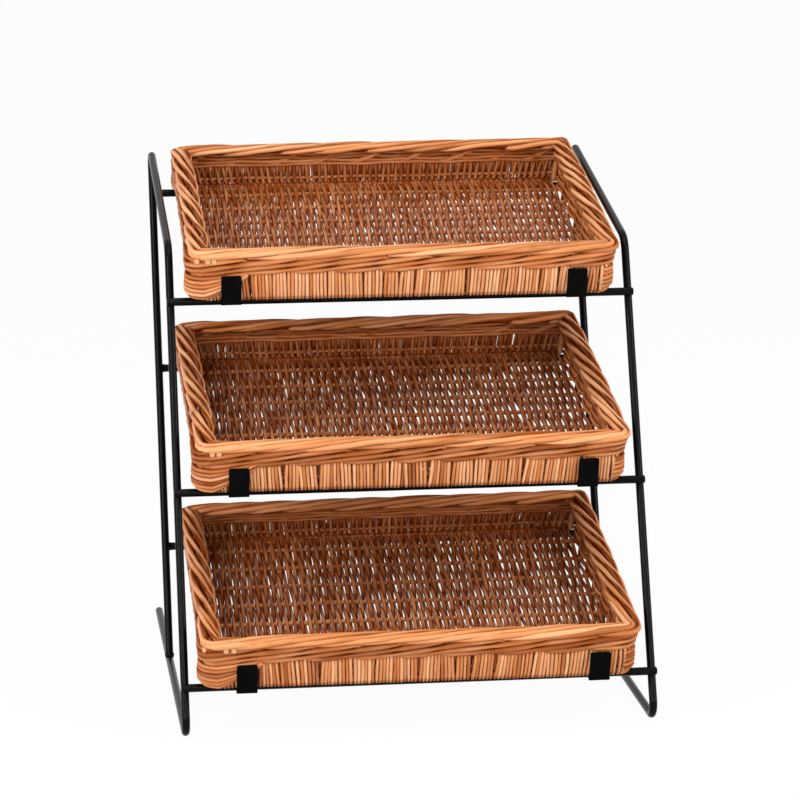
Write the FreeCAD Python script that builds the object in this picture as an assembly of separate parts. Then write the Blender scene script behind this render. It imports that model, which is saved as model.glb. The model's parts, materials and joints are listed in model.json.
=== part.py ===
import FreeCAD, Part
import math
import os

# Three-tier counter rack for bread: a welded stand of round steel rod that carries three
# sloping willow baskets. Millimetres, +X to the right, +Y to the rear, +Z up. The origin is
# on the counter, midway between the side frames, at the corner of the front feet.

# ---------------------------------------------------------------- driving dimensions: stand
rod_diameter = 8.0              # every rod of the stand
side_frame_spacing = 460.0      # between the middles of the two side frames
lean_angle = 22.12              # both posts lean this far to the rear, degrees from upright
front_post_height = 453.5       # corner of front post and top rail
rear_post_height = 510.8        # corner of rear post and top rail
rear_post_foot = 273.0          # where the rear post lands on the floor rail
floor_rail_length = 467.0       # from the front foot to the free rear end
foot_bend_radius = 12.0         # the bends are measured to the middle of the rod
front_bend_radius = 25.0
rear_bend_radius = 9.0
rod_end_rounding = 1.5          # cut ends of the rods are rounded over
weld_bulge = 0.9                # how far a weld stands out past the rod
weld_diameter = 6.0             # bead between a front bar and a post

tier_names = ("bottom", "middle", "top")
tier_pitch = 176.9              # height from one tier to the next
lowest_front_bar = 46.8         # height on the front post of the lowest front bar
lowest_rear_bar = 113.9         # height on the rear post of the lowest rear bar

# ---------------------------------------------------------------- driving dimensions: clips
clip_width = 20.0
clip_thickness = 2.0
clip_reach = 25.0               # from the middle of the bar to the lip's front face
clip_tail = 4.0                 # how far the leg runs behind the middle of the bar
clip_height = 31.0              # lip, measured from the underside of the leg
clip_inset = 58.0               # middle of a clip to the middle of the side frame
clip_bend_radius = 3.0          # to the outside of the bend
clip_corner_radius = 2.0        # top corners of the lip

# -------------------------------------------------------------- driving dimensions: baskets
seat_gap = 0.3                  # under the basket, at the clips and at the rear bar
side_gap = 9.0                  # from the rim to the rod of the side frame
lip_gap = 6.0                   # from the foot of the front wall to the clip's lip
rear_overhang = 7.0             # basket past the middle of the rear bar
basket_height = 53.0
side_flare = 5.5                # each end leans out this far over its height
front_flare = 6.0               # the front wall leans out this far over its height
corner_radius = 16.0            # outside of the upright corners
bottom_rounding = 5.0           # where the base turns up into the walls
wall_thickness = 11.0
floor_thickness = 7.0           # where the weavers pass over and under a base stick
floor_ridge = 14.0              # how wide the floor is that thick, at each base stick
floor_waist = 5.0               # thickness halfway between two base sticks
floor_lift = 0.5                # floor above the underside of the walls, at the base sticks
band_height = 26.5              # close upright rods, from the base up
border_height = 10.0            # the flat plaited rim
border_width = 20.0             # of the rim along front and rear
end_border_width = 24.0         # of the rim along the two ends
border_rounding = 3.0
base_stick_diameter = 5.0
base_stick_pitch = 42.0
corner_stick_diameter = 6.0
corner_stick_bury = 3.0         # rod ends stop this far inside the base and the rim

# ------------------------------------------------------------------------------ worked out
rod_radius = rod_diameter / 2.0
half_spacing = side_frame_spacing / 2.0
lean = math.radians(lean_angle)
rim_length = side_frame_spacing - rod_diameter - 2.0 * side_gap
base_length = rim_length - 2.0 * side_flare
base_front = -(clip_reach - clip_thickness - lip_gap)

os.makedirs("parts", exist_ok=True)


def save(shape, node):
    shape.exportStep("parts/" + node + ".step")


def rod_between(start, end, diameter):
    """A straight round rod with flat ends."""
    run = end.sub(start)
    return Part.makeCylinder(diameter / 2.0, run.Length, start, run)


def round_ends(rod):
    """Rounds over the edges of the cut ends of a rod that runs along X."""
    rims = [edge for edge in rod.Edges if isinstance(edge.Curve, Part.Circle)]
    return rod.makeFillet(rod_end_rounding, rims)


def on_post(foot, height):
    """Point (y, z) on the middle of a post that meets the floor rail at y = foot."""
    return foot + (height - rod_radius) * math.tan(lean), height


# ----------------------------------------------------------------------------- side frames
def bent_rod(x, corners, radii):
    """One rod in the plane of a side frame: straight runs, with a bend at each inner corner."""
    points = [FreeCAD.Vector(x, y, z) for y, z in corners]
    runs = []
    start = points[0]
    for i, radius in enumerate(radii, start=1):
        back = points[i - 1].sub(points[i]).normalize()
        ahead = points[i + 1].sub(points[i]).normalize()
        half_angle = back.getAngle(ahead) / 2.0
        setback = radius / math.tan(half_angle)
        bend_in = points[i].add(back * setback)
        middle = back.add(ahead).normalize()
        centre = points[i].add(middle * (radius / math.sin(half_angle)))
        section = Part.Face(Part.Wire(Part.makeCircle(rod_radius, bend_in, back)))
        bend = section.revolve(centre, ahead.cross(back), 180.0 - math.degrees(2.0 * half_angle))
        runs.append(rod_between(start, bend_in, rod_diameter))
        runs.append(bend)
        start = points[i].add(ahead * setback)
    runs.append(rod_between(start, points[-1], rod_diameter))
    return runs[0].fuse(runs[1:])


def side_frame(x):
    """One rod: floor rail, front post, top rail and rear post, whose end is welded to the rail."""
    rail_end = (floor_rail_length, rod_radius)
    front_foot = (0.0, rod_radius)
    front_top = on_post(0.0, front_post_height)
    rear_top = on_post(rear_post_foot, rear_post_height)
    rear_foot = on_post(rear_post_foot, rod_radius)
    rod = bent_rod(x, (rail_end, front_foot, front_top, rear_top, rear_foot),
                   (foot_bend_radius, front_bend_radius, rear_bend_radius))
    free_end = [edge for edge in rod.Edges if isinstance(edge.Curve, Part.Circle)
                and abs(edge.BoundBox.YMin - floor_rail_length) < 0.01
                and abs(edge.BoundBox.YMax - floor_rail_length) < 0.01]
    rod = rod.makeFillet(rod_end_rounding, free_end)
    weld_y, weld_z = on_post(rear_post_foot, rod_diameter)
    weld = Part.makeSphere(rod_radius + weld_bulge, FreeCAD.Vector(x, weld_y, weld_z))
    return rod.fuse(weld).removeSplitter().Solids[0]


frames = {"left": side_frame(-half_spacing), "right": side_frame(half_spacing)}
for side, frame in frames.items():
    save(frame, side + "_side_frame")


# ------------------------------------------------------------------------------------ bars
class Tier:
    """Where one tier's bars lie, and the slope of the basket that rests on them."""

    def __init__(self, index):
        post_y, post_z = on_post(0.0, lowest_front_bar + index * tier_pitch)
        self.front_y = post_y - rod_diameter * math.cos(lean)
        self.front_z = post_z + rod_diameter * math.sin(lean)
        self.rear_y, self.rear_z = on_post(rear_post_foot, lowest_rear_bar + index * tier_pitch)
        run = self.rear_y - self.front_y
        rise = self.rear_z - self.front_z
        self.bar_distance = math.hypot(run, rise)
        # The base lies on the clips' legs in front and on the bare bar at the rear.
        self.slope = math.atan2(rise, run) - math.asin(clip_thickness / self.bar_distance)
        self.rear_bar = math.sqrt(self.bar_distance ** 2 - clip_thickness ** 2)

    def place(self, shape):
        """Moves a shape made about the front bar, on the level, to its sloping place."""
        placed = shape.copy()
        placed.rotate(FreeCAD.Vector(0, 0, 0), FreeCAD.Vector(1, 0, 0), math.degrees(self.slope))
        placed.translate(FreeCAD.Vector(0, self.front_y, self.front_z))
        return placed


def front_bar(tier):
    """Laid across the front of both posts, flush with their outer sides, and welded there."""
    reach = half_spacing + rod_radius
    bar = round_ends(rod_between(FreeCAD.Vector(-reach, tier.front_y, tier.front_z),
                                 FreeCAD.Vector(reach, tier.front_y, tier.front_z),
                                 rod_diameter))
    to_post = FreeCAD.Vector(0, math.cos(lean), -math.sin(lean))
    for x in (-half_spacing, half_spacing):
        middle = FreeCAD.Vector(x, tier.front_y, tier.front_z)
        weld = Part.makeCylinder(weld_diameter / 2.0, rod_diameter, middle, to_post)
        bar = bar.fuse(weld)
    return bar.cut(frames["left"]).cut(frames["right"])


def rear_bar(tier):
    """Fits between the rear posts and is welded to them end to side."""
    reach = half_spacing - rod_radius / 2.0
    bar = rod_between(FreeCAD.Vector(-reach, tier.rear_y, tier.rear_z),
                      FreeCAD.Vector(reach, tier.rear_y, tier.rear_z), rod_diameter)
    weld_length = rod_radius + weld_bulge
    for side in (-1.0, 1.0):
        start = FreeCAD.Vector(side * reach, tier.rear_y, tier.rear_z)
        weld = Part.makeCone(rod_radius + weld_bulge, rod_radius, weld_length, start,
                             FreeCAD.Vector(-side, 0, 0))
        bar = bar.fuse(weld)
    return bar.removeSplitter().cut(frames["left"]).cut(frames["right"])


# ----------------------------------------------------------------------------------- clips
def clip(x):
    """Bent strip: the leg lies on the front bar and the lip keeps the basket from sliding."""
    left = x - clip_width / 2.0
    low = rod_radius
    high = low + clip_height
    front = -clip_reach
    bend_y = front + clip_bend_radius
    bend_z = low + clip_bend_radius
    inner_bend_radius = clip_bend_radius - clip_thickness

    def point(y, z):
        return FreeCAD.Vector(left, y, z)

    def bend(radius, start, end):
        """Quarter bend about the clip's bending line."""
        reach = radius * math.sqrt(0.5)
        return Part.Arc(start, point(bend_y - reach, bend_z - reach), end)

    leg_end_low = point(clip_tail, low)
    leg_end_high = point(clip_tail, low + clip_thickness)
    outer_start = point(bend_y, low)
    outer_end = point(front, bend_z)
    lip_front = point(front, high)
    lip_back = point(front + clip_thickness, high)
    inner_start = point(front + clip_thickness, bend_z)
    inner_end = point(bend_y, low + clip_thickness)
    outline = [Part.LineSegment(leg_end_low, outer_start),
               bend(clip_bend_radius, outer_start, outer_end),
               Part.LineSegment(outer_end, lip_front),
               Part.LineSegment(lip_front, lip_back),
               Part.LineSegment(lip_back, inner_start),
               bend(inner_bend_radius, inner_start, inner_end),
               Part.LineSegment(inner_end, leg_end_high),
               Part.LineSegment(leg_end_high, leg_end_low)]
    profile = Part.Face(Part.Wire([edge.toShape() for edge in outline]))
    strip = profile.extrude(FreeCAD.Vector(clip_width, 0, 0))
    top_corners = [edge for edge in strip.Edges
                   if abs(edge.BoundBox.ZMin - high) < 0.01
                   and edge.BoundBox.YLength > clip_thickness / 2.0]
    return strip.makeFillet(clip_corner_radius, top_corners)


# --------------------------------------------------------------------------------- baskets
# A basket is made level: x from its middle, y rearwards from the middle of the front bar,
# z from the middle of the front bar. Height h is counted from the underside of the base.
base_level = rod_radius + clip_thickness + seat_gap


def basket_pieces(rear_bar_y):
    """All pieces of one basket, whose base reaches just past the rear bar."""
    rear = rear_bar_y + rear_overhang

    def outline(h, inset_x, inset_y, radius):
        """Rounded rectangle at height h, set in from the outside of the walls."""
        lean_out = h / basket_height
        x = base_length / 2.0 + side_flare * lean_out - inset_x
        front = base_front - front_flare * lean_out + inset_y
        back = rear - inset_y
        z = base_level + h
        k = radius * (1.0 - math.sqrt(0.5))
        v = FreeCAD.Vector
        edges = [
            Part.LineSegment(v(-x + radius, front, z), v(x - radius, front, z)),
            Part.Arc(v(x - radius, front, z), v(x - k, front + k, z), v(x, front + radius, z)),
            Part.LineSegment(v(x, front + radius, z), v(x, back - radius, z)),
            Part.Arc(v(x, back - radius, z), v(x - k, back - k, z), v(x - radius, back, z)),
            Part.LineSegment(v(x - radius, back, z), v(-x + radius, back, z)),
            Part.Arc(v(-x + radius, back, z), v(-x + k, back - k, z), v(-x, back - radius, z)),
            Part.LineSegment(v(-x, back - radius, z), v(-x, front + radius, z)),
            Part.Arc(v(-x, front + radius, z), v(-x + k, front + k, z), v(-x + radius, front, z)),
        ]
        return Part.Wire([edge.toShape() for edge in edges])

    def block(low, high, inset_x, inset_y, radius):
        """Solid with sloping sides between two heights."""
        return Part.makeLoft([outline(low, inset_x, inset_y, radius),
                              outline(high, inset_x, inset_y, radius)], True, True)

    def slice_box(x_low, x_high, y_low, y_high):
        """Upright box used to part the wall into its sides."""
        return Part.makeBox(x_high - x_low, y_high - y_low, 2.0 * basket_height,
                            FreeCAD.Vector(x_low, y_low, base_level - basket_height / 2.0))

    def edges_at(shape, h):
        level = base_level + h
        return [edge for edge in shape.Edges
                if abs(edge.BoundBox.ZMin - level) < 0.01 and abs(edge.BoundBox.ZMax - level) < 0.01]

    waling_top = basket_height - border_height
    inner_radius = corner_radius - wall_thickness

    # Lower wall: a ring from the counter side of the base up to the top of the band.
    lower = block(0.0, band_height, 0.0, 0.0, corner_radius)
    lower = lower.makeFillet(bottom_rounding, edges_at(lower, 0.0))
    room = block(-1.0, band_height + 1.0, wall_thickness, wall_thickness, inner_radius)
    ring = lower.cut(room)

    end_x = base_length / 2.0 - wall_thickness
    middle_y = (base_front + rear) / 2.0
    far = 2.0 * rim_length
    front_band = ring.common(slice_box(-end_x, end_x, -far, middle_y))
    rear_band = ring.common(slice_box(-end_x, end_x, middle_y, far))
    left_end = ring.common(slice_box(-far, -end_x, -far, far))
    right_end = ring.common(slice_box(end_x, far, -far, far))

    waling = block(band_height, waling_top, 0.0, 0.0, corner_radius).cut(
        block(band_height - 1.0, waling_top + 1.0, wall_thickness, wall_thickness, inner_radius))

    border = block(waling_top, basket_height, 0.0, 0.0, corner_radius).cut(
        block(waling_top - 1.0, basket_height + 1.0, end_border_width, border_width, inner_radius))
    border = border.makeFillet(border_rounding, edges_at(border, basket_height))

    # Base sticks lie across the basket inside the weave of the floor, which is thick at each
    # stick and thin halfway to the next.
    stick_level = base_level + floor_lift + floor_thickness / 2.0
    floor_front = base_front + wall_thickness
    floor_depth = rear - wall_thickness - floor_front
    stick_count = int(floor_depth / base_stick_pitch)
    first_stick = floor_front + (floor_depth - (stick_count - 1) * base_stick_pitch) / 2.0
    thickness_along = [(base_front, floor_waist),
                       (first_stick - base_stick_pitch / 2.0, floor_waist)]
    base_sticks = []
    for i in range(stick_count):
        y = first_stick + i * base_stick_pitch
        thickness_along.append((y - floor_ridge / 2.0, floor_thickness))
        thickness_along.append((y + floor_ridge / 2.0, floor_thickness))
        thickness_along.append((y + base_stick_pitch / 2.0, floor_waist))
        base_sticks.append(rod_between(FreeCAD.Vector(-rim_length, y, stick_level),
                                       FreeCAD.Vector(rim_length, y, stick_level),
                                       base_stick_diameter))
    thickness_along.append((rear, floor_waist))
    upper = [FreeCAD.Vector(-rim_length, y, stick_level + thickness / 2.0)
             for y, thickness in thickness_along]
    under = [FreeCAD.Vector(-rim_length, y, stick_level - thickness / 2.0)
             for y, thickness in thickness_along]
    profile = Part.Face(Part.makePolygon(upper + under[::-1] + upper[:1]))
    floor = room.common(profile.extrude(FreeCAD.Vector(2.0 * rim_length, 0, 0)))
    base_sticks = [stick.common(floor) for stick in base_sticks]
    for stick in base_sticks:
        floor = floor.cut(stick)

    # Corner sticks stand in the middle of the wall's thickness and lean out with it.
    corner_sticks = []
    mid_wall = corner_radius - (corner_radius - wall_thickness / 2.0) * math.sqrt(0.5)
    for side in (-1.0, 1.0):
        for front_corner in (True, False):
            ends = []
            for h in (corner_stick_bury, basket_height - corner_stick_bury):
                lean_out = h / basket_height
                x = side * (base_length / 2.0 + side_flare * lean_out - mid_wall)
                y = rear - mid_wall
                if front_corner:
                    y = base_front - front_flare * lean_out + mid_wall
                ends.append(FreeCAD.Vector(x, y, base_level + h))
            stick = rod_between(ends[0], ends[1], corner_stick_diameter)
            corner_sticks.append(stick)
            left_end = left_end.cut(stick)
            right_end = right_end.cut(stick)
            front_band = front_band.cut(stick)
            rear_band = rear_band.cut(stick)
            waling = waling.cut(stick)
            border = border.cut(stick)

    return {"base_weave": floor, "base_sticks": Part.makeCompound(base_sticks),
            "front_band": front_band, "rear_band": rear_band,
            "left_end_weave": left_end, "right_end_weave": right_end,
            "corner_sticks": Part.makeCompound(corner_sticks),
            "waling": waling, "border": border}


# --------------------------------------------------------------------- put the rack together
for index, tier_name in enumerate(tier_names):
    tier = Tier(index)
    save(front_bar(tier), tier_name + "_front_bar")
    save(rear_bar(tier), tier_name + "_rear_bar")
    for side, x in (("left", clip_inset - half_spacing), ("right", half_spacing - clip_inset)):
        save(tier.place(clip(x)), tier_name + "_" + side + "_clip")
    for piece, shape in basket_pieces(tier.rear_bar).items():
        save(tier.place(shape), tier_name + "_basket_" + piece)
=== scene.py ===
import bpy
import json
import math
import numpy as np
from mathutils import Matrix, Vector


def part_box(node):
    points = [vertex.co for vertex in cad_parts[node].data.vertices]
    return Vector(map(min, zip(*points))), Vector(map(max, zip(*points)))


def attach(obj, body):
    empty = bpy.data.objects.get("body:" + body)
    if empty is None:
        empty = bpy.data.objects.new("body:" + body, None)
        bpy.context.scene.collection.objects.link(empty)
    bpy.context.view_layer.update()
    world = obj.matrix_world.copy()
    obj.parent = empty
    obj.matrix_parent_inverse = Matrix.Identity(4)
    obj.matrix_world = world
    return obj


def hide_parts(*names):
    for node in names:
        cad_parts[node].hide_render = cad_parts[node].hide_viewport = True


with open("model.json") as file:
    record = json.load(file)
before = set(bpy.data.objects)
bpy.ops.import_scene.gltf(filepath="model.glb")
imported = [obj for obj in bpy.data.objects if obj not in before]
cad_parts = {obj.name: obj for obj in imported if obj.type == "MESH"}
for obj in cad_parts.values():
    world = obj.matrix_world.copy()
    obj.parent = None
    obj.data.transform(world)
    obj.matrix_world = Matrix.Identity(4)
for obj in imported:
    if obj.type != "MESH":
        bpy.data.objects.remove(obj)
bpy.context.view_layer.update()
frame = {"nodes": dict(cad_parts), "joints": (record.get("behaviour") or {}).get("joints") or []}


# ------------------------------------------------------------------------------------ stand
# The two bent side frames and the six crossbars. 8 mm round steel rod, cold bent, welded where
# the rods meet, then powder-coated in satin black, which leaves a faint orange-peel skin.

def new_material(name, roughness, specular):
    """A material and its own shader, which starts with this roughness and gloss."""
    material = bpy.data.materials.new(name)
    material.use_nodes = True
    shader = material.node_tree.nodes["Principled BSDF"]
    shader.inputs["Roughness"].default_value = roughness
    shader.inputs["Specular IOR Level"].default_value = specular
    return material, shader


def set_socket(material, socket, value):
    """Links a socket to another one, or gives it a plain value."""
    if isinstance(value, bpy.types.NodeSocket):
        material.node_tree.links.new(value, socket)
    else:
        socket.default_value = value


def add_node(material, kind, **values):
    """A node with its sockets set by name, To_Min for the one called To Min."""
    node = material.node_tree.nodes.new("ShaderNode" + kind)
    for key, value in values.items():
        set_socket(material, node.inputs[key.replace("_", " ")], value)
    return node


def blend_colours(material, share, first, second):
    """Colour socket of a mix of two colours or sockets. Of the many sockets of a Mix node, 0 is
    the share, 6 and 7 are the two colours, and output 2 is the mixed colour."""
    mix = material.node_tree.nodes.new("ShaderNodeMix")
    mix.data_type = "RGBA"
    for place, value in ((0, share), (6, first), (7, second)):
        if isinstance(value, tuple):
            value = (*value, 1.0)
        set_socket(material, mix.inputs[place], value)
    return mix.outputs[2]


def ramp(material, share, stops):
    """Colour socket of a ramp with stops of (place, colour)."""
    node = add_node(material, "ValToRGB", Fac=share)
    elements = node.color_ramp.elements
    while len(elements) < len(stops):
        elements.new(0.5)
    for element, (place, colour) in zip(elements, stops):
        element.position = place
        element.color = (*colour, 1.0)
    return node.outputs["Color"]


def level(material, share, low, high):
    """Value socket that runs from low to high as share runs from 0 to 1."""
    return add_node(material, "MapRange", Value=share, To_Min=low, To_Max=high).outputs["Result"]


def coated_steel(name, dark, worn, roughness, spread, specular):
    """Powder coat over steel: nearly even black, a dusty bloom, and orange-peel in the gloss."""
    material, shader = new_material(name, roughness, specular)
    place = add_node(material, "TexCoord").outputs["Object"]
    bloom = add_node(material, "TexNoise", Vector=place, Scale=38.0, Detail=4.0)
    colour = blend_colours(material, bloom.outputs["Fac"], dark, worn)
    set_socket(material, shader.inputs["Base Color"], colour)
    set_socket(material, shader.inputs["Roughness"],
               level(material, bloom.outputs["Fac"], roughness - spread, roughness + spread))
    peel = add_node(material, "TexNoise", Vector=place, Scale=900.0, Detail=2.0)
    bump = add_node(material, "Bump", Height=peel.outputs["Fac"], Strength=0.12, Distance=0.0003)
    set_socket(material, shader.inputs["Normal"], bump.outputs["Normal"])
    return material


def dress(node, material):
    """Gives a CAD node that stays visible its finish."""
    mesh = frame["nodes"][node].data
    mesh.materials.clear()
    mesh.materials.append(material)


tiers = ("bottom", "middle", "top")
black_rod = coated_steel("black_rod", dark=(0.0012, 0.0012, 0.0014), worn=(0.0035, 0.0035, 0.004),
                         roughness=0.22, spread=0.04, specular=0.07)
for node in ["left_side_frame", "right_side_frame"]:
    dress(node, black_rod)
for tier in tiers:
    dress(tier + "_front_bar", black_rod)
    dress(tier + "_rear_bar", black_rod)


# ------------------------------------------------------------------------------------ clips
# Six lips bent from 20 mm steel strip, two welded on each front bar in front of the basket.
# The flat faces take a drier, matt black coat than the rods.
black_clip = coated_steel("black_clip", dark=(0.0012, 0.0012, 0.0013), worn=(0.0044, 0.0044, 0.0047),
                          roughness=0.6, spread=0.06, specular=0.008)
for tier in tiers:
    dress(tier + "_left_clip", black_clip)
    dress(tier + "_right_clip", black_clip)


# -------------------------------------------------------------------- baskets: base sticks
# Seven straight willow sticks lie across each basket inside its floor, under and over the
# weavers. They are the first thing laid when the basket is made; their ends go into the ends.

# The shape of the basket's walls and their wear, in mm.
bar_radius = 4.0
side_flare = 5.5
front_flare = 6.0
front_corner_radius = 16.0
rear_corner_radius = 11.0
least_corner_radius = 3.0
corner_run_radius = 10.5
front_sag = 1.7
sag_height = 14.0
rim_shift = 3.4
rim_height = 46.0
rim_fade = 8.0
tuck_height = 42.0
tuck_fade = 5.0

# Where used baskets have settled, in shares of the half width, the depth or the height.
sag_reach = 0.2
rear_tilt = 0.35
corner_drop = 0.04
corner_start_x = 0.84
corner_fade_x = 0.12
corner_start_rear = 0.88
corner_fade_rear = 0.1

# The sticks and the height of the middle of the floor, in mm.
stick_pitch = 42.0
stick_half_length = 204.0
stick_butt = 2.45
stick_tip = 2.15
floor_middle = 4.0


def held(value):
    """The value, held between 0 and 1."""
    return np.clip(value, 0.0, 1.0)


class Basket:
    """One basket's place in the frame and the shape of its walls, in mm along its own slope:
    x to the right, s rearwards from the middle of the front bar, h up from its underside."""

    def __init__(self, tier, index, droop, pull, aside, askew, tuck):
        """droop is the share of its height that the rear wall has lost, pull how far it leans in.
        aside and askew move the front and the rear to the right, and tuck draws in the rim."""
        self.body = tier + "_basket"
        self.index = index
        self.droop = droop
        self.pull = pull
        self.aside = aside
        self.askew = askew
        self.tuck = tuck
        axis = next(j["axis"] for j in frame["joints"] if j["child"] == self.body)
        self.up = np.array(axis, float) / np.linalg.norm(axis)
        self.back = np.array([0.0, self.up[2], -self.up[1]])
        low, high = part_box(tier + "_front_bar")
        self.origin = np.array([0.0, low.y + bar_radius / 1000.0, high.z - bar_radius / 1000.0])
        self.underside = self.reach("front_band", self.up)[0]
        self.height = self.reach("border", self.up)[1] - self.underside
        self.half = self.reach("border", np.array([1.0, 0.0, 0.0]))[1]
        self.front, self.rear = self.reach("border", self.back)
        self.middle = (self.front + front_flare + self.rear) / 2.0
        bend = math.pi / 2.0 * corner_run_radius
        length = 2.0 * (self.half - front_corner_radius)
        depth = self.rear - self.front - 2.0 * front_corner_radius
        self.stretches = np.array([length, bend, depth, bend, length, bend, depth, bend])
        self.marks = np.concatenate([[0.0], np.cumsum(self.stretches)[:-1]])
        self.girth = float(self.stretches.sum())

    def reach(self, part, direction):
        """How far a CAD node reaches along a direction, in mm from the front bar."""
        mesh = frame["nodes"][self.body + "_" + part].data
        co = np.empty(len(mesh.vertices) * 3)
        mesh.vertices.foreach_get("co", co)
        along = (co.reshape(-1, 3) - self.origin) @ direction * 1000.0
        return along.min(), along.max()

    def at(self, x, s, h):
        """World points of a used basket. Its rear wall has settled, most on the left and in the
        left corner, and leans in. It lies a little askew. Under the rim, the walls on the right
        and along the front stand a little to the left, and the rim's front left corner is drawn
        in. The front sags towards its right end."""
        x, s, h = np.broadcast_arrays(*(np.asarray(v, float) for v in (x, s, h)))
        rear = held((s - self.front) / (self.rear - self.front))
        sagging = held(1.0 - h / sag_height) * held(1.0 - rear / sag_reach)
        sag = front_sag * sagging * held(0.6 + x / self.half / 2.0)
        x = x + self.aside + (self.askew - self.aside) * rear
        overhang = np.maximum(held(0.5 + 0.5 * x / self.half), held(1.0 - 4.0 * rear))
        x = x - rim_shift * overhang * held((rim_height - h) / rim_fade)
        tucked = self.tuck * held((h - tuck_height) / tuck_fade)
        x = x + tucked * (1.0 - rear) * held(-x / self.half)
        s = s - self.pull * rear * h / self.height
        corner = held((-x / self.half - corner_start_x) / corner_fade_x)
        corner = corner * held((rear - corner_start_rear) / corner_fade_rear)
        settled = 1.0 - self.droop * rear * (1.0 - rear_tilt * x / self.half) - corner_drop * corner
        h = h * settled + self.underside - sag
        right = np.array([1.0, 0.0, 0.0])
        shift = x[:, None] * right + s[:, None] * self.back + h[:, None] * self.up
        return self.origin + shift / 1000.0

    def wall(self, u, h, depth):
        """World points u mm round the wall, counter-clockwise seen from above, from the front
        left corner, depth mm inside the wall's outer face and h mm up."""
        u, h, depth = np.broadcast_arrays(*(np.asarray(v, float) for v in (u, h, depth)))
        upright = 1.0 - h / self.height
        half = self.half - side_flare * upright
        front = self.front + front_flare * upright
        radii = np.array([front_corner_radius, rear_corner_radius, rear_corner_radius, front_corner_radius])
        bend = np.maximum(radii[:, None] - depth, least_corner_radius)
        inset = depth + bend
        middles_x = (half - inset) * np.array([1.0, 1.0, -1.0, -1.0])[:, None]
        middles_s = np.stack([front + inset[0], self.rear - inset[1],
                              self.rear - inset[2], front + inset[3]])
        place = np.mod(u, self.girth)
        stretch = np.searchsorted(self.marks, place, side="right") - 1
        part = (place - self.marks[stretch]) / self.stretches[stretch]
        side, turning = stretch // 2, stretch % 2
        share = np.where(turning == 1, 1.0, part)
        angle = np.radians(-90.0 + 90.0 * side + 90.0 * part * turning)
        each = np.arange(len(u))
        points = []
        for middles, turn in ((middles_x, np.cos(angle)), (middles_s, np.sin(angle))):
            before = middles[side - 1, each] + bend[side - 1, each] * turn
            after = middles[side, each] + bend[side, each] * turn
            points.append(before + (after - before) * share)
        return self.at(points[0], points[1], h)

    def outward(self, u, h, depth):
        """Directions straight out of the wall at the same places."""
        step = self.wall(u, h, np.asarray(depth, float) - 1.0) - self.wall(u, h, depth)
        return step / np.linalg.norm(step, axis=1)[:, None]


baskets = [Basket("bottom", 0, droop=0.10, pull=8.0, aside=-1.5, askew=0.0, tuck=0.6),
           Basket("middle", 1, droop=0.06, pull=3.0, aside=0.0, askew=0.0, tuck=3.2),
           Basket("top", 2, droop=0.05, pull=2.0, aside=0.0, askew=4.5, tuck=3.2)]


def kept_value(material, name):
    """Node that reads what rod_piece keeps under this name at every point of a piece."""
    node = add_node(material, "Attribute")
    node.attribute_name = name
    return node


def along_rod(material, grain, kind, along, across, **values):
    """A texture drawn out along the rods; along and across are how fine it is, per metre."""
    drawn = add_node(material, "Mapping", Vector=grain.outputs["Vector"], Scale=(along, across, across))
    return add_node(material, kind, Vector=drawn.outputs["Vector"], Scale=1.0, **values)


bud_brown = (0.16, 0.055, 0.018)
seam_shade_brown = (0.175, 0.026, 0.0008)
cut_pale = (0.64, 0.33, 0.16)
willow_gloss = 0.2


def willow(name, dark, usual, pale, roughness):
    """Buff willow: each rod has its own tone, fine fibres along it, blotches and small buds.
    It has painted shade, dark and dull, in the seams between the rods, and is pale where it is cut."""
    material, shader = new_material(name, roughness, willow_gloss)
    tone = kept_value(material, "tone")
    grain = kept_value(material, "grain")
    cut = kept_value(material, "cut")
    seam_shade = kept_value(material, "seam_shade")
    colour = ramp(material, tone.outputs["Fac"], [(0.0, dark), (0.5, usual), (1.0, pale)])
    fibre = along_rod(material, grain, "TexNoise", along=35.0, across=900.0, Detail=3.0)
    streaked = blend_colours(material, level(material, fibre.outputs["Fac"], 0.0, 0.42), colour, dark)
    blotch = along_rod(material, grain, "TexNoise", along=22.0, across=120.0, Detail=2.0)
    patchy = blend_colours(material, level(material, blotch.outputs["Fac"], -0.50, 0.62), streaked, pale)
    spots = along_rod(material, grain, "TexVoronoi", along=28.0, across=260.0)
    bud = add_node(material, "MapRange", Value=spots.outputs["Distance"],
                   From_Min=0.05, From_Max=0.16, To_Min=0.55, To_Max=0.0)
    budded = blend_colours(material, bud.outputs["Result"], patchy, bud_brown)
    # Painted shade: the flanks of the rods darken to a deep brown in the seams.
    seamed = blend_colours(material, seam_shade.outputs["Fac"], budded, seam_shade_brown)
    ended = blend_colours(material, cut.outputs["Fac"], seamed, cut_pale)
    set_socket(material, shader.inputs["Base Color"], ended)
    sheen = add_node(material, "MapRange", Value=seam_shade.outputs["Fac"],
                     From_Max=0.3, To_Min=willow_gloss, To_Max=0.0)
    set_socket(material, shader.inputs["Specular IOR Level"], sheen.outputs["Result"])
    set_socket(material, shader.inputs["Roughness"],
               level(material, fibre.outputs["Fac"], roughness - 0.08, roughness + 0.10))
    bump = add_node(material, "Bump", Height=fibre.outputs["Fac"], Strength=0.25, Distance=0.0004)
    set_socket(material, shader.inputs["Normal"], bump.outputs["Normal"])
    return material


def rod(points, radius, tone, cut=0.0, facing=None, seam_shade_strength=1.0):
    """A rod along world points; radius in mm and tone, 0 dark to 1 pale, at each; cut 1 for pale
    ends. facing is the way its open face looks: the flanks, where it presses on the next rod,
    get painted shade, which is darkest where the rods part."""
    points = np.asarray(points, float)
    radius = np.broadcast_to(np.asarray(radius, float), len(points)) / 1000.0
    seam_shade_strength = np.broadcast_to(np.asarray(seam_shade_strength, float), len(points))
    tone = np.broadcast_to(np.asarray(tone, float), len(points))
    return points, radius, tone, cut, facing, seam_shade_strength


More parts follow.
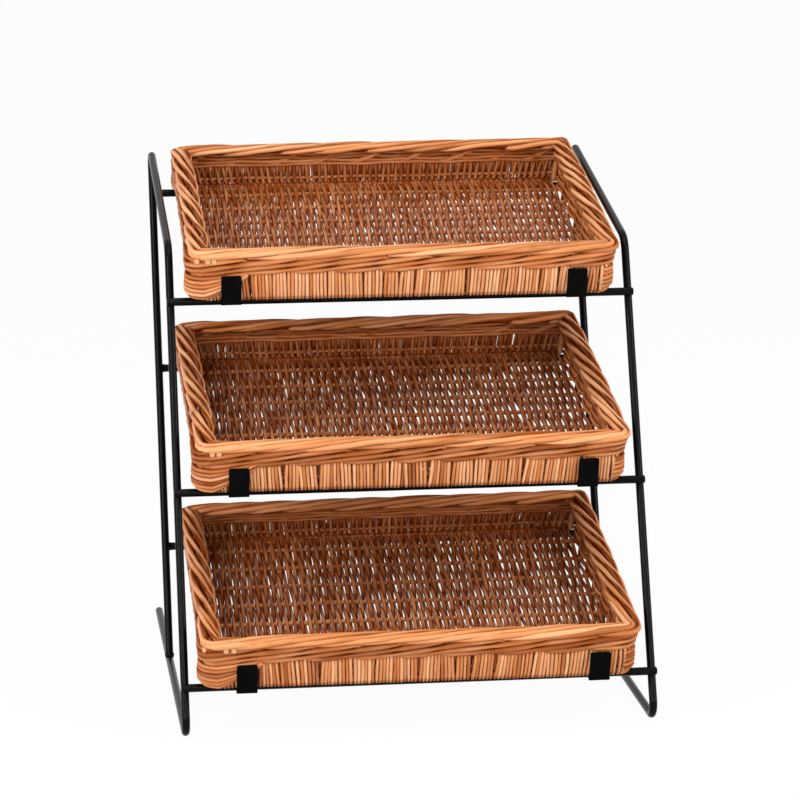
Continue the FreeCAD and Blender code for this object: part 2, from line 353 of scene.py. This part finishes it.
# How squarely a rod's skin has to face outwards to stay clear of the painted seam shade, how fast
# the painted shade darkens from there, and how far apart in the grain the rods start.
open_share = 0.84
seam_shade_fade = 1.1
tone_step = 7.0
point_step = 0.013


def rod_piece(name, rods, sides, material, basket, node):
    """One piece of many rods, which stands for the basket's CAD node of the same place. The grain
    of each rod starts at a place of its own, set by its tone and by the points before it."""
    turn = np.linspace(0.0, 2.0 * math.pi, sides, endpoint=False)
    spots, faces, tones, grains, cuts, seam_shades = [], [], [], [], [], []
    total = 0
    for points, radius, tone, cut, facing, seam_shade_strength in rods:
        n = len(points)
        heading = np.gradient(points, axis=0)
        heading /= np.linalg.norm(heading, axis=1)[:, None]
        aside = np.eye(3)[np.argmin(np.abs(heading).max(axis=0))]
        first = aside - (heading @ aside)[:, None] * heading
        first /= np.linalg.norm(first, axis=1)[:, None]
        second = np.cross(heading, first)
        ring = first[:, None] * np.cos(turn)[None, :, None] + second[:, None] * np.sin(turn)[None, :, None]
        skin = points[:, None] + ring * radius[:, None, None]
        run = np.concatenate([[0.0], np.cumsum(np.linalg.norm(np.diff(points, axis=0), axis=1))])
        grain = np.empty((n, sides, 3))
        grain[..., 0] = run[:, None] + tone[0] * tone_step + total * point_step
        grain[..., 1] = radius[:, None] * np.cos(turn)
        grain[..., 2] = radius[:, None] * np.sin(turn)
        # Painted shade on the flanks, where the rod's skin turns away from its open face.
        seam_shade = np.zeros((n, sides))
        if facing is not None:
            open_face = np.abs(np.einsum("nsk,nk->ns", ring, np.broadcast_to(facing, (n, 3))))
            seam_shade = np.minimum(seam_shade_strength[:, None] * held(1.0 - open_face / open_share) ** seam_shade_fade, 1.0)
        seam_shades += [seam_shade.ravel(), np.zeros(2 * sides)]
        spots += [skin.reshape(-1, 3), skin[0], skin[-1]]
        grains += [grain.reshape(-1, 3), grain[0], grain[-1]]
        rings, around = np.meshgrid(np.arange(n - 1), np.arange(sides), indexing="ij")
        a = total + rings * sides + around
        b = total + rings * sides + (around + 1) % sides
        faces += np.stack([a, b, b + sides, a + sides], axis=-1).reshape(-1, 4).tolist()
        end = total + n * sides
        faces.append(list(range(end + sides - 1, end - 1, -1)))
        faces.append(list(range(end + sides, end + 2 * sides)))
        tones += [np.repeat(tone, sides), np.full(sides, tone[0]), np.full(sides, tone[-1])]
        cuts.append(np.concatenate([np.zeros(n * sides), np.full(2 * sides, cut)]))
        total += (n + 2) * sides
    mesh = bpy.data.meshes.new(name)
    mesh.from_pydata(np.concatenate(spots).tolist(), [], faces)
    mesh.polygons.foreach_set("use_smooth", [len(face) == 4 for face in faces])
    for key, values in (("tone", tones), ("cut", cuts), ("seam_shade", seam_shades)):
        mesh.attributes.new(key, "FLOAT", "POINT").data.foreach_set("value", np.concatenate(values))
    grain = mesh.attributes.new("grain", "FLOAT_VECTOR", "POINT")
    grain.data.foreach_set("vector", np.concatenate(grains).ravel())
    mesh.materials.append(material)
    piece = bpy.data.objects.new(name, mesh)
    bpy.context.scene.collection.objects.link(piece)
    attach(piece, basket.body)
    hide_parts(basket.body + "_" + node)


second_wave = 0.47


def wander(draw, along, length, size):
    """A smooth random line: how far a rod strays, up to size, at each place along it."""
    stray = np.zeros(len(along))
    for share in (1.0, second_wave):
        stray += share * np.sin(2.0 * math.pi * (along / (length * share) + draw.uniform()))
    return stray * size / (1.0 + second_wave)


willow_sticks = willow("willow_sticks", dark=(0.34, 0.11, 0.035), usual=(0.52, 0.19, 0.068),
                       pale=(0.70, 0.30, 0.12), roughness=0.5)
for basket in baskets:
    draw = np.random.default_rng(100 + basket.index)
    sticks = []
    for row in range(-3, 4):
        x = np.linspace(-stick_half_length, stick_half_length, 40)
        s = basket.middle + row * stick_pitch + wander(draw, x, 260.0, 0.7)
        h = floor_middle + wander(draw, x, 300.0, 0.2)
        thick = np.linspace(stick_butt, stick_tip, 40)[:: draw.choice([-1, 1])]
        sticks.append(rod(basket.at(x, s, h), thick, tone=draw.uniform(0.2, 0.8), cut=1.0))
    rod_piece(basket.body + "_sticks", sticks, 8, willow_sticks, basket, "base_sticks")


# --------------------------------------------------------------------- baskets: base weave
# The floor: thin buff willow rods run front to rear, each over one stick and under the next,
# its neighbours the other way about. They are only pressed together, so light shows between.
weaver_pitch = 3.8
weaver_rod = 1.99
weave_swing = 2.7
floor_half_width = 203.0
floor_front_gap = 8.0
floor_rear_gap = 6.0
full_swing_rows = 2.6
least_swing = 0.25

willow_weave = willow("willow_weave", dark=(0.20, 0.040, 0.004), usual=(0.64, 0.225, 0.070),
                      pale=(0.93, 0.50, 0.26), roughness=0.36)
for basket in baskets:
    draw = np.random.default_rng(200 + basket.index)
    weavers = []
    count = int(2 * floor_half_width / weaver_pitch)
    for i in range(count):
        s = np.linspace(basket.front + floor_front_gap, basket.rear - floor_rear_gap, 58)
        rows = (s - basket.middle) / stick_pitch
        swing = np.cos(math.pi * (rows + i))
        fade = np.clip(2.0 - np.abs(rows) / full_swing_rows, least_swing, 1.0)
        h = floor_middle + weave_swing * swing * fade
        x = (i - (count - 1) / 2.0) * weaver_pitch + draw.normal(0.0, 0.22) + wander(draw, s, 150.0, 0.5)
        thick = weaver_rod * (1.0 + 0.05 * draw.normal()) * np.linspace(0.97, 1.12, 58)
        # Painted shade: the floor's rods take dark tones. Where a rod dips under a stick it is darker still
        # and has more shade on its flanks.
        tone = held(draw.uniform(-0.08, 0.18) + 0.10 * swing)
        weavers.append(rod(basket.at(x, s, h), thick, tone, facing=basket.up, seam_shade_strength=3.2 - 0.5 * swing))
    rod_piece(basket.body + "_floor", weavers, 6, willow_weave, basket, "base_weave")


# -------------------------------------------------------------- baskets: front and rear bands
# The same thin rods turn up at the front and rear and stand close together, in bunches of four
# to six that the wales above squeeze. Inside, they pass behind and before one lying rod.
bunch_gap = 0.9
band_pitch = 3.62
band_rod = 1.78
inner_start = 4.0
inner_pitch = 3.45
inner_rod = 1.75
lying_rod = 1.7
lying_height = 12.0
lying_depth = 7.9
front_band_lead = 4.0
rear_band_lead = -1.0
band_tail = 5.0
fan_start = 2.0
fan_rise = 25.0
under_height = 1.5
under_fade = 4.0
band_tone = 0.68
band_shade_step = 0.09

# Profiles of (depth inside the wall's outer face, height), from the floor upwards.
outer_turn_up = [(24.0, 3.6), (14.0, 1.9), (8.0, 1.2), (4.4, 1.0), (2.2, 2.4), (1.5, 6.0), (1.4, 12.0),
                 (1.6, 18.0), (2.0, 23.0), (3.6, 28.0), (5.4, 33.0)]
before_lying_rod = [(17.0, 6.3), (12.5, 6.2), (10.3, 8.6), (9.5, 12.0), (9.4, 15.5), (8.8, 20.0),
                    (8.0, 25.0), (7.0, 33.0)]
behind_lying_rod = [(17.0, 5.2), (12.0, 4.6), (8.4, 6.6), (5.9, 11.5), (6.2, 15.5), (7.4, 20.0),
                    (8.2, 25.0), (7.6, 33.0)]


def smooth(points, steps):
    """Points of a smooth curve through the given ones."""
    points = np.asarray(points, float)
    padded = np.vstack([2.0 * points[0] - points[1], points, 2.0 * points[-1] - points[-2]])
    t = np.linspace(0.0, len(points) - 1.0 - 1e-9, steps)
    i = t.astype(int)
    f = (t - i)[:, None]
    a, b, c, d = padded[i], padded[i + 1], padded[i + 2], padded[i + 3]
    return 0.5 * (2.0 * b + (c - a) * f + (2.0 * a - 5.0 * b + 4.0 * c - d) * f ** 2
                  + (3.0 * b - a - 3.0 * c + d) * f ** 3)


def standing(basket, draw, foot, head, profile, steps, radius, tone):
    """A rod that stands in a wall, from foot to head mm round it, along a profile. Its open face
    looks out of the wall, or up where the rod still lies under the basket."""
    shape = smooth(profile, steps)
    rise = held((shape[:, 1] - fan_start) / fan_rise)
    u = foot + (head - foot) * rise
    bow = draw.normal(0.0, 0.22) * np.sin(math.pi * rise)
    depth = shape[:, 0] + draw.normal(0.0, 0.12)
    out = basket.outward(u + bow, shape[:, 1], depth)
    under = held(1.0 - (shape[:, 1] - under_height) / under_fade)[:, None]
    facing = out * (1.0 - under) + basket.up * under
    facing /= np.linalg.norm(facing, axis=1)[:, None]
    return rod(basket.wall(u + bow, shape[:, 1], depth), radius, tone, facing=facing, seam_shade_strength=0.9)


def band(basket, draw, start, end):
    """The rods of one band: bunches outside, single rods inside and the rod that lies in it. The
    bands of each lower basket are painted a step darker, for the shade cast by the basket above."""
    rods = []
    u = start
    while u < end:
        bunch = draw.integers(4, 7)
        pitch = band_pitch * draw.uniform(0.96, 1.04)
        middle = u + (bunch - 1) * pitch / 2.0
        lean = draw.normal(0.0, 0.8)
        fan = draw.uniform(0.86, 1.06)
        for i in range(bunch):
            aside = (i - (bunch - 1) / 2.0) * pitch
            thick = band_rod * np.clip(1.0 + 0.07 * draw.normal(), 0.86, 1.14)
            tone = held(draw.normal(band_tone + band_shade_step * (basket.index - 1), 0.24))
            rods.append(standing(basket, draw, middle + aside, middle + aside * fan + lean,
                                 outer_turn_up, 24, thick, tone))
        u += bunch * pitch + bunch_gap * draw.uniform(0.4, 1.3)
    for i, u in enumerate(np.arange(start + inner_start, end, inner_pitch)):
        profile = before_lying_rod if i % 2 else behind_lying_rod
        shift = draw.normal(0.0, 0.5)
        thick = inner_rod + 0.08 * draw.normal()
        # Painted shade: the inner rods take only dark tones.
        tone = draw.uniform(0.0, 0.26)
        rods.append(standing(basket, draw, u, u + shift, profile, 14, thick, tone))
    lying = np.linspace(start + 1.0, end - 1.0, 90)
    h = lying_height + wander(draw, lying, 120.0, 0.5)
    rods.append(rod(basket.wall(lying, h, lying_depth), lying_rod, tone=0.4))
    return rods


for basket in baskets:
    draw = np.random.default_rng(300 + basket.index)
    length = basket.stretches[0]
    rear_start = basket.marks[4]
    for part, start in (("front_band", front_band_lead), ("rear_band", rear_start + rear_band_lead)):
        rods = band(basket, draw, start, start + length + band_tail)
        rod_piece(basket.body + "_" + part + "_rods", rods, 7, willow_weave, basket, part)


# ---------------------------------------------------------------------- baskets: end weave
# Both ends are woven with lying rods, six high, in and out of stakes that stand where the
# base sticks end. They bulge round the corners; those of the left end run on under the front.
end_rows = 6
end_row_low = 3.0
end_row_pitch = 4.3
end_rod = 2.2
end_middle_depth = 5.5
end_swing = 3.2
stake_rod = 2.1
stake_depth = 5.6
stake_low = 3.0
stake_high = 44.0
corner_reach = 46.0
corner_fade = 24.0
corner_bulges = (3.6, 6.2, 6.2, 5.6, 4.9, 4.3)
run_in_height = 26.0
run_in_depth = 3.6
run_out_height = 27.5
run_out_step = 0.4
run_out_depth = -1.2
run_out_tuck = 6.0
run_out_tuck_start = 0.7


def end_weave(basket, draw, first_corner, early, late):
    """Rods round an end; early and late are how far they run past its corners, along the walls."""
    rods = []
    start = basket.marks[first_corner]
    end = basket.marks[first_corner + 2] + basket.stretches[first_corner + 2]
    middle = (start + end) / 2.0
    for u in middle + stick_pitch * np.arange(-3, 4):
        h = np.linspace(stake_low, stake_high, 12)
        rods.append(rod(basket.wall(u + wander(draw, h, 60.0, 0.4), h, stake_depth), stake_rod, tone=0.4))
    for row in range(end_rows):
        u = np.linspace(start - early, end + late, 170)
        row_height = end_row_low + row * end_row_pitch
        ahead = held((start - u) / max(early, 1.0))
        past = held((u - end) / max(late, 1.0))
        h = row_height + wander(draw, u, 90.0, 0.35)
        h += ((run_out_height + run_out_step * row - row_height) * past ** 1.25
              + (run_in_height - row_height) * 0.5 * ahead)
        swing = np.cos(math.pi * ((u - middle) / stick_pitch + row + basket.index))
        near = held((corner_reach - np.minimum(np.abs(u - start), np.abs(u - end))) / corner_fade)
        near = np.maximum(near, np.maximum(ahead, past) > 0.0)
        depth = end_middle_depth + end_swing * swing * (1.0 - near) - corner_bulges[row] * near
        run_out = run_out_depth + run_out_tuck * held(past - run_out_tuck_start)
        depth += run_in_depth * ahead + np.where(past > 0.0, run_out, 0.0)
        thick = end_rod * (1.0 + 0.06 * draw.normal())
        tone = held(draw.normal(0.38, 0.2))
        rods.append(rod(basket.wall(u, h, depth), thick, tone, cut=1.0,
                        facing=basket.outward(u, h, depth), seam_shade_strength=1.6))
    return rods


for basket in baskets:
    draw = np.random.default_rng(400 + basket.index)
    for part, corner, early, late in (("right_end_weave", 1, -3.0, 12.0),
                                      ("left_end_weave", 5, 12.0, 46.0)):
        rods = end_weave(basket, draw, corner, early, late)
        rod_piece(basket.body + "_" + part + "_rods", rods, 7, willow_weave, basket, part)


# ------------------------------------------------------------------ baskets: corner sticks
# A thicker stick stands in each corner and stiffens it. It is cut off slantwise just under the
# base, so its pale split end shows below the corner.
corner_stick_heights = np.array([1.0, 1.6, 4.0, 10.0, 20.0, 30.0, 40.0, 45.0])
corner_stick_radii = [1.2, 2.4, 2.9, 3.0, 3.0, 2.9, 2.8, 2.6]
corner_stick_depth = 6.0

for basket in baskets:
    draw = np.random.default_rng(500 + basket.index)
    rods = []
    for corner in (1, 3, 5, 7):
        h = corner_stick_heights
        u = basket.marks[corner] + basket.stretches[corner] / 2.0 + wander(draw, h, 70.0, 0.5)
        rods.append(rod(basket.wall(u, h, corner_stick_depth), corner_stick_radii, tone=0.7, cut=1.0))
    rod_piece(basket.body + "_corners", rods, 9, willow_sticks, basket, "corner_sticks")


# ------------------------------------------------------------------------- baskets: waling
# One round of four stout rods above the bands. Each rod runs outside three stakes, climbing
# over the rods that follow it, then goes inside the fourth and comes out again at the bottom.
wale_step = 3.0
wale_reach = 48.0
wale_rod = 2.85
wale_rise = 5.7
wale_low = 29.3
wale_depth = 5.2
wale_swing = 2.8
# The wales' low tone is partly the willow's own colour and partly painted shade, because they face out under
# the lit rim.
wale_tone = 0.27
wale_shade_step = 0.06

# A stage is the way from one stake to the next; where two rods part, both are thin and get deeper painted
# shade.
first_stage = -0.35
stage_out = -0.15
stage_in = 2.95
stage_turn = 0.26
climb_start = 0.35
climb_softness = 0.06
drop_start = 2.9
drop_run = 0.65
parting_stage = 0.76
parting_width = 0.19
parting_thinning = 0.20

# The stakes behind the wales and the rows of rods that back them.
wale_stake_start = 7.0
wale_stake_low = 22.0
wale_stake_high = 45.0
wale_stake_depth = 5.9
wale_stake_rod = 1.7
inner_wale_low = wale_low - 0.8
inner_wale_pitch = 4.1
inner_wale_depth = 9.0
inner_wale_rod = 1.95

for basket in baskets:
    draw = np.random.default_rng(600 + basket.index)
    turns = round(basket.girth / (4.0 * wale_reach))
    period = basket.girth / turns
    rods = []
    u = np.arange(0.0, basket.girth + wale_step, wale_step)
    uneven = wander(draw, u, 210.0, 5.0)
    for strand in range(4):
        stage = np.mod(4.0 * (u + uneven) / period + strand - first_stage, 4.0) + first_stage
        turn = np.clip(np.minimum(stage - stage_out, stage_in - stage) / stage_turn, -1.0, 1.0)
        out = np.sin(turn * math.pi / 2.0)
        lifted = 0.5 * (stage - climb_start + np.sqrt((stage - climb_start) ** 2 + climb_softness))
        inside = held((stage - drop_start) / drop_run)
        climb = lifted * (1.0 - inside ** 0.8)
        h = wale_low + wale_rise * climb + wander(draw, u, 150.0, 0.45)
        depth = wale_depth - wale_swing * out + wander(draw, u, 110.0, 0.25)
        parting = np.exp(-((np.mod(stage, 1.0) - parting_stage) / parting_width) ** 2)
        thick = wale_rod * (1.0 + 0.07 * np.sin(u / 61.0 + draw.uniform(0.0, 6.0)))
        thick = thick * (1.0 - parting_thinning * parting)
        tone = draw.normal(wale_tone, 0.07) + wander(draw, u, 130.0, 0.10)
        # Painted shade: the wales of each lower basket are a step darker, for the shade cast by the basket
        # above.
        tone = held(tone + wale_shade_step * (basket.index - 1))
        rods.append(rod(basket.wall(u, h, depth), thick, tone, facing=basket.outward(u, h, depth),
                        seam_shade_strength=1.5 + 1.4 * parting))
    for place in np.arange(wale_stake_start, basket.girth, wale_reach / 3.0):
        h = np.linspace(wale_stake_low, wale_stake_high, 8)
        points = basket.wall(np.full(8, place) + wander(draw, h, 40.0, 0.3), h, wale_stake_depth)
        rods.append(rod(points, wale_stake_rod, tone=draw.uniform(0.0, 0.2)))
    for row in range(4):
        h = inner_wale_low + inner_wale_pitch * row + wander(draw, u, 96.0, 0.9)
        depth = inner_wale_depth + wander(draw, u, 48.0, 0.6)
        thick = inner_wale_rod + 0.15 * np.sin(u / 33.0 + row)
        rods.append(rod(basket.wall(u, h, depth), thick, tone=draw.uniform(0.1, 0.45),
                        facing=basket.outward(u, h, depth), seam_shade_strength=1.2))
    rod_piece(basket.body + "_wales", rods, 8, willow_weave, basket, "waling")


# ------------------------------------------------------------------------- baskets: border
# The flat plaited rim. Every 48 mm a stout rod comes out low on the outer side, climbs over the
# top as it runs on, and tucks down inside the basket about 200 mm further round. Along the two
# ends they stand closer and cross over more steeply. Cut ends show under it at the front left.
border_pitch = 48.0
end_border_pitch = 41.0
border_run = 200.0
end_border_run = 168.0
end_share_fade = 16.0
border_rod = 3.05
border_face = 3.0
border_top = 53.2
end_widening = 1.2

# The path of a rod: (share of its run, depth inside the outer face, height).
border_path = [(-0.14, 10.5, 43.6), (-0.04, 6.8, 44.4), (0.06, 4.0, 45.4), (0.2, 3.2, 47.4),
               (0.34, 4.2, 49.4), (0.48, 7.6, 49.9), (0.62, 11.4, 49.9), (0.76, 14.8, 49.4),
               (0.88, 16.7, 47.6), (0.98, 16.2, 45.2), (1.06, 12.5, 43.8)]

# The core that the rods wrap, dark with painted shade all round, the last rod laid over them, and the ends
# cut off short.
core_step = 5.0
core_depth = 10.5
core_height = 44.5
core_rods = ((8.0, 45.4), (12.8, 45.6))
core_rod = 2.3
shaded_all_round = np.zeros(3)
last_rod_start = -7.0
last_rod = 3.0
last_rod_drop = 0.6
last_rod_out = 1.6
cut_ends = [(-8.0, 10.0, 17.5), (2.0, 8.5), (-4.0, 5.0, 11.0)]
cut_end_depths = np.array([9.0, 6.0, 2.0, -0.4])
cut_end_height = 43.4
cut_end_rod = 2.6


def end_share(basket, u):
    """1 along the two ends of the basket, 0 along the front and rear, with a short change."""
    place = np.mod(u, basket.girth)
    share = np.zeros(np.shape(u))
    for first in (1, 5):
        low, high = basket.marks[first], basket.marks[first + 2] + basket.stretches[first + 2]
        share = np.maximum(share, held(np.minimum(place - low, high - place) / end_share_fade))
    return share


willow_border = willow("willow_border", dark=(0.30, 0.08, 0.014), usual=(0.68, 0.265, 0.092),
                       pale=(0.88, 0.46, 0.23), roughness=0.36)
for basket in baskets:
    draw = np.random.default_rng(700 + basket.index)
    starts = [0.0]
    while starts[-1] < basket.girth:
        step = end_border_pitch if end_share(basket, starts[-1]) > 0.5 else border_pitch
        starts.append(starts[-1] + step)
    rods = []
    for start in np.array(starts[:-1]) * basket.girth / starts[-1]:
        shape = smooth(border_path, 52)
        middle = start + 0.4 * border_run
        run = border_run + (end_border_run - border_run) * end_share(basket, middle)
        u = start + 6.0 * draw.normal() + shape[:, 0] * run
        at_end = end_share(basket, u)
        widen = 1.0 + (end_widening - 1.0) * at_end
        depth = border_face + (shape[:, 1] - border_face) * widen + wander(draw, u, 110.0, 0.6)
        h = shape[:, 2] + wander(draw, u, 90.0, 0.4)
        thick = border_rod * np.clip(1.0 + 0.07 * draw.normal(), 0.85, 1.12) * np.linspace(1.08, 0.88, len(u))
        thick *= 1.0 - 0.07 * at_end
        thick[:2] *= (0.6, 0.9)
        thick[-2:] *= (0.9, 0.6)
        h = np.minimum(h, border_top - thick)
        facing = basket.wall(u, h, depth) - basket.wall(u, core_height, core_depth)
        facing /= np.linalg.norm(facing, axis=1)[:, None]
        # Painted light: the rods along the two ends are paler, and their seams get more painted shade.
        tone = held(draw.normal(0.5, 0.2) + 0.25 * at_end)
        rods.append(rod(basket.wall(u, h, depth), thick, tone, cut=1.0, facing=facing,
                        seam_shade_strength=1.0 + 0.8 * at_end))
    u = np.arange(0.0, basket.girth + core_step, core_step)
    for depth, h in core_rods:
        high = h + wander(draw, u, 100.0, 0.4)
        deep = depth + wander(draw, u, 80.0, 0.5)
        # Painted shade: the core rods are dark all round.
        rods.append(rod(basket.wall(u, high, deep), core_rod, tone=0.1, facing=shaded_all_round))
    shape = smooth(border_path[3:], 44)
    u = last_rod_start + (shape[:, 0] - border_path[3][0]) * border_run
    thick = last_rod * np.concatenate([[0.45, 0.8], np.linspace(1.06, 0.9, 40), [0.8, 0.5]])
    points = basket.wall(u, shape[:, 2] - last_rod_drop, shape[:, 1] - last_rod_out)
    rods.append(rod(points, thick, tone=0.7))
    for u in cut_ends[basket.index]:
        points = basket.wall(np.full(4, u), cut_end_height, cut_end_depths)
        rods.append(rod(points, cut_end_rod, tone=0.5, cut=1.0))
    rod_piece(basket.body + "_border_rods", rods, 10, willow_border, basket, "border")


# ------------------------------------------------------------------------ floor and light
# A very large pale floor, soft lamps and the view. The floor keeps the stand's shadow. The air
# lights the object, while the camera, gloss and glass see a white backdrop in its place.
floor_side = 40.0
floor_front = -20.0
floor_rear = 60.0
floor_white = 0.96

floor_mesh = bpy.data.meshes.new("floor")
floor_corners = [(-floor_side, floor_front, 0.0), (floor_side, floor_front, 0.0),
                 (floor_side, floor_rear, 0.0), (-floor_side, floor_rear, 0.0)]
floor_mesh.from_pydata(floor_corners, [], [(0, 1, 2, 3)])
floor = bpy.data.objects.new("floor", floor_mesh)
bpy.context.scene.collection.objects.link(floor)
pale = bpy.data.materials.new("pale_floor")
pale.use_nodes = True
tree = pale.node_tree
tree.nodes.clear()
output = tree.nodes.new("ShaderNodeOutputMaterial")
mix = tree.nodes.new("ShaderNodeMixShader")
matt = tree.nodes.new("ShaderNodeBsdfDiffuse")
matt.inputs["Color"].default_value = (0.80, 0.80, 0.80, 1.0)
white = tree.nodes.new("ShaderNodeEmission")


def seen(tree):
    """1 for rays from the camera, from gloss and through glass, 0 for the light itself."""
    rays = tree.nodes.new("ShaderNodeLightPath")
    both = tree.nodes.new("ShaderNodeMath")
    both.operation = "MAXIMUM"
    tree.links.new(rays.outputs["Is Glossy Ray"], both.inputs[0])
    tree.links.new(rays.outputs["Is Transmission Ray"], both.inputs[1])
    every = tree.nodes.new("ShaderNodeMath")
    every.operation = "MAXIMUM"
    tree.links.new(rays.outputs["Is Camera Ray"], every.inputs[0])
    tree.links.new(both.outputs[0], every.inputs[1])
    return every.outputs[0]


share = tree.nodes.new("ShaderNodeMath")
share.operation = "MULTIPLY"
tree.links.new(seen(tree), share.inputs[0])
share.inputs[1].default_value = floor_white
tree.links.new(share.outputs[0], mix.inputs[0])
tree.links.new(matt.outputs[0], mix.inputs[1])
tree.links.new(white.outputs[0], mix.inputs[2])
tree.links.new(mix.outputs[0], output.inputs["Surface"])
floor_mesh.materials.append(pale)

world = bpy.data.worlds.new("studio")
bpy.context.scene.world = world
world.use_nodes = True
tree = world.node_tree
tree.nodes.clear()
output = tree.nodes.new("ShaderNodeOutputWorld")
mix = tree.nodes.new("ShaderNodeMixShader")
air = tree.nodes.new("ShaderNodeBackground")
air.inputs["Color"].default_value = (1.0, 0.90, 0.78, 1.0)
air.inputs["Strength"].default_value = 0.38
backdrop = tree.nodes.new("ShaderNodeBackground")
backdrop.inputs["Color"].default_value = (1.0, 1.0, 1.0, 1.0)
backdrop.inputs["Strength"].default_value = 1.0
tree.links.new(seen(tree), mix.inputs[0])
tree.links.new(air.outputs[0], mix.inputs[1])
tree.links.new(backdrop.outputs[0], mix.inputs[2])
tree.links.new(mix.outputs[0], output.inputs["Surface"])


def softbox(name, place, aim, width, height, power):
    """A lamp with a large soft face, turned towards aim; sizes in metres, power in watts."""
    lamp = bpy.data.lights.new(name, "AREA")
    lamp.shape = "RECTANGLE"
    lamp.size = width
    lamp.size_y = height
    lamp.energy = power
    thing = bpy.data.objects.new(name, lamp)
    bpy.context.scene.collection.objects.link(thing)
    thing.location = place
    thing.rotation_euler = (Vector(aim) - Vector(place)).to_track_quat("-Z", "Y").to_euler()


middle_of_stand = (0.0, 0.2, 0.28)
softbox("overhead", (0.0, -0.3, 2.4), (0.0, 0.2, 0.2), width=1.1, height=1.1, power=16.0)
softbox("front_box", (-0.4, -2.5, 1.25), middle_of_stand, width=1.4, height=1.0, power=22.0)
softbox("left_box", (-1.8, -1.0, 1.2), middle_of_stand, width=0.35, height=1.8, power=37.0)
softbox("right_box", (1.8, -1.0, 1.2), middle_of_stand, width=0.35, height=1.8, power=33.0)

aim = Vector((0.00759, 0.230, 0.28265))
distance = 3.45329
swing, rise, roll = math.radians(-7.23), math.radians(11.73), math.radians(0.08)
focal_pixels = 3370.07
picture_width = 800.0
sensor_width = 36.0
behind = Vector((math.sin(swing) * math.cos(rise), -math.cos(swing) * math.cos(rise), math.sin(rise)))
level_right = Vector((math.cos(swing), math.sin(swing), 0.0))
level_up = behind.cross(level_right)
right = level_right * math.cos(roll) - level_up * math.sin(roll)
upward = level_right * math.sin(roll) + level_up * math.cos(roll)
eye = aim + behind * distance
camera_data = bpy.data.cameras.new("camera")
camera_data.sensor_fit = "HORIZONTAL"
camera_data.sensor_width = sensor_width
camera_data.lens = focal_pixels * sensor_width / picture_width
camera = bpy.data.objects.new("camera", camera_data)
bpy.context.scene.collection.objects.link(camera)
camera.matrix_world = Matrix(((right.x, upward.x, behind.x, eye.x),
                              (right.y, upward.y, behind.y, eye.y),
                              (right.z, upward.z, behind.z, eye.z),
                              (0.0, 0.0, 0.0, 1.0)))
bpy.context.scene.camera = camera
bpy.context.scene.view_settings.view_transform = "Standard"
